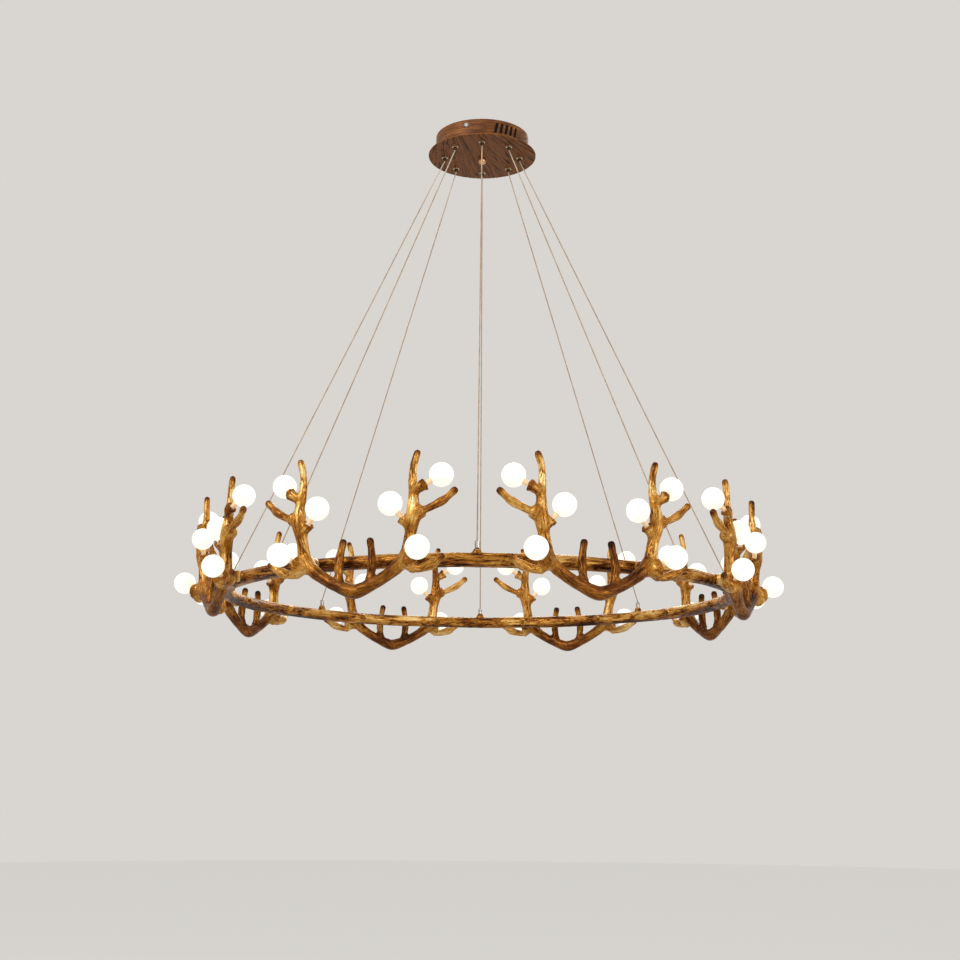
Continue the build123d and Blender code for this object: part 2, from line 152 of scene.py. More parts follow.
def painted_wood_band():
    """Grained paint: streaks 150 mm long and 2.4 mm high run round the drum, in patches about
    60 mm wide. A painted highlight in gold lies on the lower rim, and the inside is painted
    near black as shade."""
    streak_length, streak_height, patch_size = 150 * MM, 2.4 * MM, 60 * MM
    material, tree, shader = finish("grained_paint_on_steel", Metallic=0.3, Specular_IOR_Level=0.2)
    place = add(tree, "ShaderNodeTexCoord").outputs["Object"]
    stretched = add(tree, "ShaderNodeVectorMath", {0: place, 1: (
        1 / streak_length, 1 / streak_length, 1 / streak_height)}, operation="MULTIPLY")
    streaks = add(tree, "ShaderNodeTexNoise", {"Vector": stretched.outputs[0], "Detail": 4.0,
                                               "Roughness": 0.55, "Distortion": 0.5})
    patches = add(tree, "ShaderNodeTexNoise", {"Vector": place, "Scale": 1 / patch_size, "Detail": 2.0})
    level = add(tree, "ShaderNodeMath", {0: patches.outputs[0], 1: 0.3, 2: streaks.outputs[0]},
                operation="MULTIPLY_ADD")
    tone = add(tree, "ShaderNodeValToRGB", {0: level.outputs[0]}, stops=[
        (0.48, "1E0E06"), (0.57, "57301A"), (0.67, "7A4A26"), (0.82, "B9793C")])
    height = add(tree, "ShaderNodeSeparateXYZ", {0: place})
    flat = add(tree, "ShaderNodeVectorMath", {0: place, 1: (1, 1, 0)}, operation="MULTIPLY")
    from_axis = add(tree, "ShaderNodeVectorMath", {0: flat.outputs[0]}, operation="LENGTH")
    outside = add(tree, "ShaderNodeMath", {0: from_axis.outputs["Value"], 1: drum_radius - drum_wall / 2},
                  operation="GREATER_THAN")
    # The gold on the lower rim is a painted highlight.
    rim = add(tree, "ShaderNodeMapRange", {0: height.outputs["Z"], 1: drum_bottom,
                                           2: drum_bottom + highlight_rim, 3: 0.7, 4: 0.0})
    rim_highlighted = add(tree, "ShaderNodeMix", {0: rim.outputs[0], "A": tone.outputs[0], "B": linear("C98A48")},
               data_type="RGBA")
    # The inside is painted near black, as the shade inside the drum.
    coloured = add(tree, "ShaderNodeMix", {0: outside.outputs[0], "A": linear("0B0A0A"),
                                           "B": rim_highlighted.outputs["Result"]}, data_type="RGBA")
    bump = add(tree, "ShaderNodeBump",
               {"Height": streaks.outputs[0], "Strength": 0.6, "Distance": 0.8 * MM})
    rough = add(tree, "ShaderNodeMapRange", {0: streaks.outputs[0], 3: 0.35, 4: 0.6})
    tree.links.new(coloured.outputs["Result"], shader.inputs["Base Color"])
    tree.links.new(bump.outputs[0], shader.inputs["Normal"])
    tree.links.new(rough.outputs[0], shader.inputs["Roughness"])
    return material


dress(painted_wood_band(), "canopy_drum")

# ---------------------------------------------------------------------------------------
# Vent shade strip. A thin strip of black fibre board, curved inside the drum's wall behind
# the vents: painted shade, so that the slots look black like the shade inside the drum.

vent_azimuth, strip_half_angle, strip_steps = 31, 19, 19
strip_bottom, strip_top, strip_thickness = -31 * MM, -4 * MM, 0.6 * MM
strip_radius = drum_radius - drum_wall - strip_thickness


def shade_strip_fibre():
    """Black fibre board as painted shade: matte, with felted fibres about 3 mm long."""
    material, tree, shader = finish("vulcanised_fibre", Roughness=0.8, Specular_IOR_Level=0.2)
    place = add(tree, "ShaderNodeTexCoord").outputs["Object"]
    felt = add(tree, "ShaderNodeTexNoise", {"Vector": place, "Scale": 1 / (3 * MM), "Detail": 2.0})
    tone = add(tree, "ShaderNodeValToRGB", {0: felt.outputs[0]}, stops=[(0.35, "060606"), (0.65, "121110")])
    tree.links.new(tone.outputs[0], shader.inputs["Base Color"])
    return material


# A black strip that stands in for the shade behind the vents.
strip_points = []
for step in range(strip_steps + 1):
    angle = radians(vent_azimuth + strip_half_angle * (2 * step / strip_steps - 1))
    for level in (strip_bottom, strip_top):
        strip_points.append((strip_radius * sin(angle), -strip_radius * cos(angle), level))
strip_faces = [(2 * step, 2 * step + 1, 2 * step + 3, 2 * step + 2) for step in range(strip_steps)]
strip_mesh = bpy.data.meshes.new("vent_baffle")
strip_mesh.from_pydata(strip_points, [], strip_faces)
strip_mesh.materials.append(shade_strip_fibre())
shade_strip = bpy.data.objects.new("vent_baffle", strip_mesh)
bpy.context.scene.collection.objects.link(shade_strip)
wall = shade_strip.modifiers.new("wall", "SOLIDIFY")
wall.thickness = strip_thickness
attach(shade_strip, "canopy")

# ---------------------------------------------------------------------------------------
# Canopy face. A round board cast in resin from a carved wooden one: chocolate brown, with
# grooves that run from front to back and lean a little to the right. It closes the drum.


def copied(*names):
    """A copy of one or more CAD nodes' meshes with their doubles merged, as a new object."""
    shape = bmesh.new()
    for name in names:
        shape.from_mesh(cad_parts[name].data)
    bmesh.ops.remove_doubles(shape, verts=shape.verts, dist=0.01 * MM)
    mesh = bpy.data.meshes.new("rough_" + names[0])
    shape.to_mesh(mesh)
    shape.free()
    piece = bpy.data.objects.new("rough_" + names[0], mesh)
    bpy.context.scene.collection.objects.link(piece)
    return piece


def settled(piece, name):
    """The piece with its modifiers applied, as a plain mesh object of that name."""
    bpy.context.view_layer.update()
    graph = bpy.context.evaluated_depsgraph_get()
    mesh = bpy.data.meshes.new_from_object(piece.evaluated_get(graph))
    bpy.data.objects.remove(piece)
    mesh.name = name
    result = bpy.data.objects.new(name, mesh)
    bpy.context.scene.collection.objects.link(result)
    return result


def remeshed(voxel, *names):
    """The shape of CAD nodes as one even skin of small faces, ready to be carved."""
    piece = copied(*names)
    remesh = piece.modifiers.new("remesh", "REMESH")
    remesh.mode = "VOXEL"
    remesh.voxel_size = voxel * MM
    remesh.use_smooth_shade = True
    return settled(piece, "even_" + names[0])


def points_of(piece):
    """The vertices of a piece in millimetres."""
    places = np.empty(3 * len(piece.data.vertices), dtype=np.float32)
    piece.data.vertices.foreach_get("co", places)
    return places.reshape(-1, 3).astype(float) / MM


def mark(piece, name, values):
    """Stores one number or one vector for each vertex, for the carving and the paint."""
    vector = values.ndim == 2
    layer = piece.data.attributes.new(name, "FLOAT_VECTOR" if vector else "FLOAT", "POINT")
    layer.data.foreach_set("vector" if vector else "value", values.astype(np.float32).ravel())


def carving_tree():
    """Cuts grooves along the grain and lets the surface swell into flutes between them. Grain
    holds two lengths along the grain and one across it, and cross the other one. Plump moves
    the surface outward by so many mm, calm leaves it smooth, soften rounds off creases and rim
    tears an edge into splinters. The tree stores crest and groove for the paint."""
    flutes, wide_grooves, fine_grooves = (0.5, 3.0), (1.0, 0.0), (2.1, 7.0)  # scale and seed
    fine_share = 0.45
    splinter_size = 4.5 * MM
    crease_rounds, skin_rounds = 40, 2
    tree = bpy.data.node_groups.new("carve_along_the_grain", "GeometryNodeTree")
    tree.interface.new_socket("Geometry", in_out="INPUT", socket_type="NodeSocketGeometry")
    for size in ("Grain Length", "Groove Width", "Groove Depth", "Groove Sharpness", "Flute Depth",
                 "Rim Depth"):
        tree.interface.new_socket(size, in_out="INPUT", socket_type="NodeSocketFloat")
    tree.interface.new_socket("Material", in_out="INPUT", socket_type="NodeSocketMaterial")
    tree.interface.new_socket("Geometry", in_out="OUTPUT", socket_type="NodeSocketGeometry")
    sizes = add(tree, "NodeGroupInput").outputs
    grain = add(tree, "GeometryNodeInputNamedAttribute", {"Name": "grain"},
                data_type="FLOAT_VECTOR").outputs[0]
    cross, calm, plump, soften, rim = (
        add(tree, "GeometryNodeInputNamedAttribute", {"Name": name}, data_type="FLOAT").outputs[0]
        for name in ("cross", "calm", "plump", "soften", "rim"))
    scale = add(tree, "ShaderNodeCombineXYZ", {0: sizes["Grain Length"], 1: sizes["Grain Length"],
                                               2: sizes["Groove Width"]})
    vector = add(tree, "ShaderNodeVectorMath", {0: grain, 1: scale.outputs[0]}, operation="DIVIDE")
    depth_axis = add(tree, "ShaderNodeMath", {0: cross, 1: sizes["Groove Width"]}, operation="DIVIDE")
    fields = []
    for finer, seed in (flutes, wide_grooves, fine_grooves):
        shifted = add(tree, "ShaderNodeMath", {0: depth_axis.outputs[0], 1: seed}, operation="ADD")
        noise = add(tree, "ShaderNodeTexNoise", {"Vector": vector.outputs[0], "W": shifted.outputs[0],
                                                 "Scale": finer, "Detail": 2.0, "Roughness": 0.45,
                                                 "Distortion": 0.35}, noise_dimensions="4D")
        level = add(tree, "ShaderNodeMath", {0: noise.outputs[0], 1: 0.5}, operation="SUBTRACT")
        fields.append(level.outputs[0])
    flute = fields[0]
    grooves = []
    for field in fields[1:]:
        away = add(tree, "ShaderNodeMath", {0: field}, operation="ABSOLUTE")
        groove = add(tree, "ShaderNodeMapRange",
                     {0: away.outputs[0], 1: 0.0, 2: sizes["Groove Sharpness"], 3: 1.0, 4: 0.0},
                     interpolation_type="SMOOTHSTEP")
        grooves.append(groove.outputs[0])
    fine = add(tree, "ShaderNodeMath", {0: grooves[1], 1: fine_share}, operation="MULTIPLY")
    both = add(tree, "ShaderNodeMath", {0: grooves[0], 1: fine.outputs[0]}, operation="MAXIMUM")
    loud = add(tree, "ShaderNodeMath", {0: 1.0, 1: calm}, operation="SUBTRACT")
    carved = add(tree, "ShaderNodeMath", {0: both.outputs[0], 1: loud.outputs[0]}, operation="MULTIPLY")
    swollen = add(tree, "ShaderNodeMath", {0: flute, 1: loud.outputs[0]}, operation="MULTIPLY")
    out = add(tree, "ShaderNodeMath", {0: swollen.outputs[0], 1: sizes["Flute Depth"]},
              operation="MULTIPLY")
    cut = add(tree, "ShaderNodeMath", {0: carved.outputs[0], 1: sizes["Groove Depth"]},
              operation="MULTIPLY")
    shaped = add(tree, "ShaderNodeMath", {0: out.outputs[0], 1: cut.outputs[0]}, operation="SUBTRACT")
    place = add(tree, "GeometryNodeInputPosition")
    splinters = add(tree, "ShaderNodeTexNoise",
                    {"Vector": place.outputs[0], "Scale": 1 / splinter_size, "Detail": 2.0})
    torn = add(tree, "ShaderNodeMapRange", {0: splinters.outputs[0], 1: 0.4, 2: 0.65, 3: 0.0, 4: 1.0})
    jagged = add(tree, "ShaderNodeMath", {0: torn.outputs[0], 1: rim}, operation="MULTIPLY")
    flared = add(tree, "ShaderNodeMath",
                 {0: jagged.outputs[0], 1: sizes["Rim Depth"], 2: shaped.outputs[0]},
                 operation="MULTIPLY_ADD")
    moved_out = add(tree, "ShaderNodeMath", {0: plump, 1: MM, 2: flared.outputs[0]},
                    operation="MULTIPLY_ADD")
    rounded = add(tree, "GeometryNodeBlurAttribute",
                  {"Value": place.outputs[0], "Iterations": crease_rounds, "Weight": soften},
                  data_type="FLOAT_VECTOR")
    filled = add(tree, "GeometryNodeSetPosition",
                 {"Geometry": sizes["Geometry"], "Position": rounded.outputs[0]})
    smooth = add(tree, "GeometryNodeBlurAttribute", {"Value": place.outputs[0], "Iterations": skin_rounds},
                 data_type="FLOAT_VECTOR")
    even = add(tree, "GeometryNodeSetPosition",
               {"Geometry": filled.outputs[0], "Position": smooth.outputs[0]})
    normal = add(tree, "GeometryNodeInputNormal")
    offset = add(tree, "ShaderNodeVectorMath", {0: normal.outputs[0], "Scale": moved_out.outputs[0]},
                 operation="SCALE")
    kept = add(tree, "GeometryNodeSetPosition", {"Geometry": even.outputs[0], "Offset": offset.outputs[0]})
    for name, value in (("crest", swollen), ("groove", carved)):
        kept = add(tree, "GeometryNodeStoreNamedAttribute",
                   {"Geometry": kept.outputs[0], "Name": name, "Value": value.outputs[0]},
                   data_type="FLOAT")
    shown = add(tree, "GeometryNodeSetMaterial",
                {"Geometry": kept.outputs[0], "Material": sizes["Material"]})
    real = add(tree, "GeometryNodeRealizeInstances", {"Geometry": shown.outputs[0]})
    add(tree, "NodeGroupOutput", {"Geometry": real.outputs[0]})
    return tree


carve_along_the_grain = carving_tree()


def grown(piece, tree, name, **values):
    """Runs a node tree on a piece with named sizes, and keeps the result as a plain mesh."""
    modifier = piece.modifiers.new("grow", "NODES")
    modifier.node_group = tree
    for item in tree.interface.items_tree:
        key = item.name.replace(" ", "_").lower()
        if item.in_out == "INPUT" and key in values:
            modifier[item.identifier] = values[key]
    return settled(piece, name)


def carved_board_resin():
    """Cast resin in stained wood colours: streaks 140 mm long and 3 mm wide, with the grooves
    painted near black as shade."""
    streak_length, streak_width = 140, 3
    material, tree, shader = finish("cast_resin_board", Specular_IOR_Level=0.12)
    grain = add(tree, "ShaderNodeAttribute", attribute_name="grain").outputs["Vector"]
    groove = add(tree, "ShaderNodeAttribute", attribute_name="groove").outputs["Fac"]
    stretched = add(tree, "ShaderNodeVectorMath", {0: grain, 1: (
        1 / streak_length, 1 / streak_length, 1 / streak_width)}, operation="MULTIPLY")
    streaks = add(tree, "ShaderNodeTexNoise",
                  {"Vector": stretched.outputs[0], "Detail": 4.0, "Roughness": 0.65})
    # The grooves are painted darker, as shade in them.
    cut = add(tree, "ShaderNodeMath", {0: groove, 1: -0.4, 2: streaks.outputs[0]},
              operation="MULTIPLY_ADD")
    tone = add(tree, "ShaderNodeValToRGB", {0: cut.outputs[0]}, stops=[
        (0.1, "1C0C04"), (0.34, "5C3214"), (0.48, "7C4C26"), (0.66, "9A683C")])
    rough = add(tree, "ShaderNodeMapRange", {0: streaks.outputs[0], 3: 0.4, 4: 0.6})
    tree.links.new(tone.outputs[0], shader.inputs["Base Color"])
    tree.links.new(rough.outputs[0], shader.inputs["Roughness"])
    return material


# The grain fans out from a point in front of the board, to its left. Carving stops a little
# above the underside.
fan_x, fan_y, fan_reach = -78.0, -290.0, 300.0
fine_skin = 1.3
underside_depth = 1.2
board = remeshed(fine_skin, "canopy_face")
board_points = points_of(board)
board_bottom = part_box("canopy_face")[0][2] / MM
from_fan = np.hypot(board_points[:, 0] - fan_x, board_points[:, 1] - fan_y)
fan_angle = np.arctan2(board_points[:, 0] - fan_x, board_points[:, 1] - fan_y)
mark(board, "grain", np.stack([from_fan, 0 * from_fan, fan_angle * fan_reach], axis=1))
mark(board, "calm", np.where(board_points[:, 2] < board_bottom + underside_depth, 0.0, 1.0))
for unused in ("cross", "plump", "soften", "rim"):
    mark(board, unused, 0 * from_fan)
face = grown(board, carve_along_the_grain, "canopy_board", grain_length=330.0, groove_width=10.0,
             groove_depth=0.9 * MM, groove_sharpness=0.022, flute_depth=0.0, rim_depth=0.0,
             material=carved_board_resin())
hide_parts("canopy_face")
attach(face, "canopy")

# ---------------------------------------------------------------------------------------
# Canopy side screws. Two cold-headed steel screws with a nickel plate, driven through the
# drum into the bracket's ears. Their pan heads have a cross recess.


def worn_metal(name, deep, bright, low_rough, high_rough, cloud_size):
    """Metal whose tone and gloss drift between two colours, in clouds of that many mm."""
    material, tree, shader = finish(name, Metallic=1.0)
    place = add(tree, "ShaderNodeTexCoord").outputs["Object"]
    cloud = add(tree, "ShaderNodeTexNoise",
                {"Vector": place, "Scale": 1 / (cloud_size * MM), "Detail": 4.0, "Roughness": 0.6})
    tone = add(tree, "ShaderNodeValToRGB", {0: cloud.outputs[0]}, stops=[(0.35, deep), (0.65, bright)])
    rough = add(tree, "ShaderNodeMapRange",
                {0: cloud.outputs[0], 1: 0.3, 2: 0.7, 3: high_rough, 4: low_rough})
    tree.links.new(tone.outputs[0], shader.inputs["Base Color"])
    tree.links.new(rough.outputs[0], shader.inputs["Roughness"])
    return material


screw_azimuths = (-19.5, 160.5)
screw_drop, screw_head_radius, screw_head_height = 11.0, 5.4, 2.5
shank_radius, shank_length = 2.0, 6.9
recess_reach, recess_half_width, recess_depth = 2.9, 0.65, 1.5
end_slope, inner_slope, outer_slope = 0.5, 0.1, 0.25
screw_spokes, head_rings, middle_radius = 72, 30, 0.15


def smoothed(value, start, end):
    """0 before start and 1 after end, eased between them."""
    share = np.clip((value - start) / (end - start), 0, 1)
    return share * share * (3 - 2 * share)


def cross_recess(across, up):
    """How deep the cross recess is at each point of the head, in mm."""
    arms = []
    for long_way, short_way in ((across, up), (up, across)):
        ends = 1 - smoothed(np.abs(long_way), recess_reach - end_slope, recess_reach)
        sides = 1 - smoothed(np.abs(short_way), recess_half_width - inner_slope,
                             recess_half_width + outer_slope)
        arms.append(ends * sides)
    return recess_depth * np.maximum(*arms)


def side_screws():
    """Both screws as one mesh: a domed head with its recess, then the shank."""
    head = [(radius, screw_head_height * (1 - (radius / screw_head_radius) ** 4) ** 0.5)
            for radius in np.linspace(middle_radius, screw_head_radius, head_rings)]
    outline = head + [(screw_head_radius, 0), (shank_radius, 0), (shank_radius, -shank_length)]
    spoke = np.arange(screw_spokes) * radians(360 / screw_spokes)
    shape = bmesh.new()
    for azimuth in screw_azimuths:
        out = np.array([sin(radians(azimuth)), -cos(radians(azimuth)), 0])
        way = np.array([cos(radians(azimuth)), sin(radians(azimuth)), 0])
        rings = []
        for step, (radius, height) in enumerate(outline):
            across, up = radius * np.cos(spoke), radius * np.sin(spoke)
            lift = height - (cross_recess(across, up) if step < len(head) else 0 * spoke)
            places = (np.outer(drum_radius / MM + lift, out) + np.outer(across, way)
                      + np.outer(up - screw_drop, (0, 0, 1)))
            rings.append([shape.verts.new(place * MM) for place in places])
        shape.faces.new(rings[0])
        shape.faces.new(rings[-1][::-1])
        for inner, outer in zip(rings, rings[1:]):
            for k in range(screw_spokes):
                shape.faces.new((inner[k - 1], inner[k], outer[k], outer[k - 1]))
    bmesh.ops.recalc_face_normals(shape, faces=shape.faces)
    mesh = bpy.data.meshes.new("side_screws")
    shape.to_mesh(mesh)
    shape.free()
    mesh.shade_smooth()
    screws = bpy.data.objects.new("side_screws", mesh)
    bpy.context.scene.collection.objects.link(screws)
    return screws


screws = side_screws()
screws.data.materials.append(worn_metal("nickel_plated_screw_steel", "7C7A77", "B4B1AC", 0.34, 0.5, 3))
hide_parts("canopy_side_screws")
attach(screws, "canopy")

# ---------------------------------------------------------------------------------------
# Cap nut and cable glands. The nut is turned from brass and satin finished. The glands are
# turned brass too, drawn darker on the nose and with a painted highlight on the wide flange.

gland_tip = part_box("cable_glands")[0][2]
dark_end, bright_start = gland_tip + 5.5 * MM, gland_tip + 7.5 * MM


def darkened_brass():
    """Brass that is darker on the gland's nose and carries a painted highlight on its flange, with 2 mm
    blotches.
    """
    material, tree, shader = finish("darkened_brass", Metallic=1.0)
    place = add(tree, "ShaderNodeTexCoord").outputs["Object"]
    height = add(tree, "ShaderNodeSeparateXYZ", {0: place})
    blotch = add(tree, "ShaderNodeTexNoise", {"Vector": place, "Scale": 1 / (2 * MM), "Detail": 3.0})
    # The flange's brightness is a painted highlight, and the nose is drawn darker.
    share = add(tree, "ShaderNodeMapRange",
                {0: height.outputs["Z"], 1: dark_end, 2: bright_start, 3: 0.0, 4: 0.55})
    level = add(tree, "ShaderNodeMath", {0: blotch.outputs[0], 1: 0.5, 2: share.outputs[0]},
                operation="MULTIPLY_ADD")
    tone = add(tree, "ShaderNodeValToRGB", {0: level.outputs[0]}, stops=[
        (0.15, "2E2117"), (0.35, "6A543C"), (0.65, "C9B796"), (0.85, "E4D8C0")])
    rough = add(tree, "ShaderNodeMapRange", {0: level.outputs[0], 1: 0.2, 2: 0.8, 3: 0.55, 4: 0.3})
    tree.links.new(tone.outputs[0], shader.inputs["Base Color"])
    tree.links.new(rough.outputs[0], shader.inputs["Roughness"])
    return material


dress(worn_metal("satin_brass", "B98452", "E6B684", 0.3, 0.45, 5), "centre_cap_nut")
dress(darkened_brass(), "cable_glands", "cable_gland_nuts")

# ---------------------------------------------------------------------------------------
# Suspension cables. Steel wire in a thin clear sheath, which looks champagne. Each one is
# clamped in its gland and in the gripper on the ring, and the weight pulls it straight.

cable_diameter = 2.2 * MM
cable_count = 8
gland_inset = 18.5 * MM
gripper_radius = 4.2 * MM
pale_start, pale_end = gland_tip - 110 * MM, gland_tip - 20 * MM


def sheathed_cable():
    """Clear sheath over twisted wire: champagne brown. Its twist of 1.6 mm is too fine to
    show, so it is drawn as soft bands ten times as long. The sheath is drawn paler toward the
    top, near its gland."""
    material, tree, shader = finish("clear_sheathed_wire", IOR=1.5, Roughness=0.4)
    place = add(tree, "ShaderNodeTexCoord").outputs["Object"]
    strands = add(tree, "ShaderNodeTexNoise", {"Vector": place, "Scale": 1 / (16 * MM), "Detail": 1.0})
    tone = add(tree, "ShaderNodeValToRGB", {0: strands.outputs[0]},
               stops=[(0.35, "9A8268"), (0.65, "B59C80")])
    height = add(tree, "ShaderNodeSeparateXYZ", {0: place})
    # The sheath is drawn paler toward the top.
    paler = add(tree, "ShaderNodeMapRange",
                  {0: height.outputs["Z"], 1: pale_start, 2: pale_end, 3: 0.0, 4: 0.8})
    coloured = add(tree, "ShaderNodeMix", {0: paler.outputs[0], "A": tone.outputs[0],
                                           "B": linear("DCCDB8")}, data_type="RGBA")
    tree.links.new(coloured.outputs["Result"], shader.inputs["Base Color"])
    return material


def cable_tree():
    """A round rod of that diameter along a line, closed at both ends."""
    tree = bpy.data.node_groups.new("draw_cable", "GeometryNodeTree")
    tree.interface.new_socket("Geometry", in_out="INPUT", socket_type="NodeSocketGeometry")
    tree.interface.new_socket("Diameter", in_out="INPUT", socket_type="NodeSocketFloat")
    tree.interface.new_socket("Material", in_out="INPUT", socket_type="NodeSocketMaterial")
    tree.interface.new_socket("Geometry", in_out="OUTPUT", socket_type="NodeSocketGeometry")
    sizes = add(tree, "NodeGroupInput").outputs
    line = add(tree, "GeometryNodeMeshToCurve", {"Mesh": sizes["Geometry"]})
    radius = add(tree, "ShaderNodeMath", {0: sizes["Diameter"], 1: 0.5}, operation="MULTIPLY")
    ring = add(tree, "GeometryNodeCurvePrimitiveCircle", {"Resolution": 16, "Radius": radius.outputs[0]})
    rod = add(tree, "GeometryNodeCurveToMesh",
              {"Curve": line.outputs[0], "Profile Curve": ring.outputs[0], "Fill Caps": True})
    shown = add(tree, "GeometryNodeSetMaterial",
                {"Geometry": rod.outputs[0], "Material": sizes["Material"]})
    real = add(tree, "GeometryNodeRealizeInstances", {"Geometry": shown.outputs[0]})
    add(tree, "NodeGroupOutput", {"Geometry": real.outputs[0]})
    return tree


def cable_ends(number):
    """Top and bottom centre of a cable, read from its CAD node's box and its azimuth."""
    lowest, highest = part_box(f"suspension_cable_{number}")
    azimuth = radians(360 / cable_count * (number - 1))
    outward = np.array([sin(azimuth), -cos(azimuth)])
    gripper_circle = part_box("ring_cable_grippers")[1][0] - gripper_radius
    top = (*(outward * (drum_radius - gland_inset)), highest[2])
    return top, (*(outward * gripper_circle), lowest[2])


draw_cable = cable_tree()
cable_paint = sheathed_cable()
cable_parts = 24
for number in range(1, cable_count + 1):
    top, bottom = (np.array(end) for end in cable_ends(number))
    route = [tuple(top + (bottom - top) * i / cable_parts) for i in range(cable_parts + 1)]
    line = bpy.data.meshes.new("cable_line")
    line.from_pydata(route, [(i, i + 1) for i in range(cable_parts)], [])
    carrier = bpy.data.objects.new("cable_line", line)
    bpy.context.scene.collection.objects.link(carrier)
    cable = grown(carrier, draw_cable, f"taut_cable_{number}", diameter=cable_diameter,
                  material=cable_paint)
    cable.data.shade_smooth()
    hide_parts(f"suspension_cable_{number}")
    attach(cable, "canopy")
    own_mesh(cable)

# ---------------------------------------------------------------------------------------
# Ring. A bent tube cast over with resin that was taken from a branch: it swells and sinks,
# its bark runs round it, and a small cone stands under each cable. It carries the antlers.

tube_radius = 12.0
ring_radius = 500.0
ring_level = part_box("ring_quarter_1")[0][2] / MM + tube_radius


def painted_bark(name, streak_length, streak_width, stops):
    """Cast resin painted as bark: the grooves are painted darker as shade, and the crests
    lighter gold as a painted highlight. Streaks follow the grain in patches about 45 mm wide,
    and a speckle of 1.2 mm breaks the gloss. Each share says how far a pattern moves the tone."""
    patch_size, speckle_size = 45 * MM, 1.2 * MM
    streak_share, patch_share, crest_highlight_share, groove_shade_share, dark_share = 0.78, 0.4, 0.9, -0.24, -0.4
    material, tree, shader = finish(name, Metallic=0.4, Specular_IOR_Level=0.1)
    grain = add(tree, "ShaderNodeAttribute", attribute_name="grain").outputs["Vector"]
    cross, crest, groove, dark = (
        add(tree, "ShaderNodeAttribute", attribute_name=value).outputs["Fac"]
        for value in ("cross", "crest", "groove", "dark"))
    stretched = add(tree, "ShaderNodeVectorMath", {0: grain, 1: (
        1 / streak_length, 1 / streak_length, 1 / streak_width)}, operation="MULTIPLY")
    depth = add(tree, "ShaderNodeMath", {0: cross, 1: 1 / streak_width}, operation="MULTIPLY")
    streaks = add(tree, "ShaderNodeTexNoise", {
        "Vector": stretched.outputs[0], "W": depth.outputs[0], "Detail": 4.0, "Roughness": 0.6,
        "Distortion": 0.3}, noise_dimensions="4D")
    place = add(tree, "ShaderNodeTexCoord").outputs["Object"]
    patches = add(tree, "ShaderNodeTexNoise", {"Vector": place, "Scale": 1 / patch_size, "Detail": 2.0})
    level = add(tree, "ShaderNodeMath", {0: streaks.outputs[0], 1: streak_share}, operation="MULTIPLY")
    # Crest adds a painted highlight, groove takes away light as painted shade, and dark holds painted shade
    # and darker tones.
    for pattern, share in ((patches.outputs[0], patch_share), (crest, crest_highlight_share),
                           (groove, groove_shade_share), (dark, dark_share)):
        level = add(tree, "ShaderNodeMath", {0: pattern, 1: share, 2: level.outputs[0]},
                    operation="MULTIPLY_ADD")
    tone = add(tree, "ShaderNodeValToRGB", {0: level.outputs[0]}, stops=stops)
    speckle = add(tree, "ShaderNodeTexNoise", {"Vector": place, "Scale": 1 / speckle_size, "Detail": 2.0})
    bump = add(tree, "ShaderNodeBump",
               {"Height": speckle.outputs[0], "Strength": 0.25, "Distance": 0.25 * MM})
    rough = add(tree, "ShaderNodeMapRange", {0: streaks.outputs[0], 1: 0.3, 2: 0.7, 3: 0.45, 4: 0.25})
    tree.links.new(tone.outputs[0], shader.inputs["Base Color"])
    tree.links.new(rough.outputs[0], shader.inputs["Roughness"])
    tree.links.new(bump.outputs[0], shader.inputs["Normal"])
    return material


bark_stops = [(0.28, "2A1204"), (0.41, "6A3A10"), (0.52, "A66A22"), (0.63, "D09C4A"), (0.77, "F2D296")]
ring_skin = 2.0
ring_plump = 0.7
shade_top, shade_reach, shade_limit = 2, 30, 0.35
ring_quarters = [f"ring_quarter_{number}" for number in range(1, 5)]
ring = remeshed(ring_skin, *ring_quarters)
ring_points = points_of(ring)
from_axis = np.hypot(ring_points[:, 0], ring_points[:, 1])
nothing = np.zeros(len(ring_points))
mark(ring, "grain", np.stack([ring_points[:, 0], ring_points[:, 1], from_axis - ring_radius], axis=1))
mark(ring, "cross", ring_points[:, 2] - ring_level)
mark(ring, "plump", nothing + ring_plump)
# The ring is painted darker toward its underside, as shade.
mark(ring, "dark", np.clip((ring_level + shade_top - ring_points[:, 2]) / shade_reach, 0, shade_limit))
for unused in ("calm", "soften", "rim"):
    mark(ring, unused, nothing)
branch_ring = grown(ring, carve_along_the_grain, "branch_ring", grain_length=80.0, groove_width=9.0,
                    groove_depth=1.2 * MM, groove_sharpness=0.04, flute_depth=5.0 * MM,
                    rim_depth=0.0, material=painted_bark("cast_resin_bark", 70, 4.5, bark_stops))
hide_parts(*ring_quarters)
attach(branch_ring, "ring")

# ---------------------------------------------------------------------------------------
# Cable grippers, one screwed into each cone of the ring. Turned steel with a nickel plate,
# polished, a little clouded by handling.

dress(worn_metal("nickel_plated_steel", "8E8A84", "CFCBC4", 0.2, 0.38, 4), "ring_cable_grippers")

# ---------------------------------------------------------------------------------------
# Antler pairs. Each is one resin casting: a yoke under the ring and two antlers that fork
# into tines and lamp sockets. Gold on the crests is a painted highlight, and the grooves, the
# creases between limbs and the yoke are painted darker as shade. The tips and the socket
# mouths are darker too, nearly black.

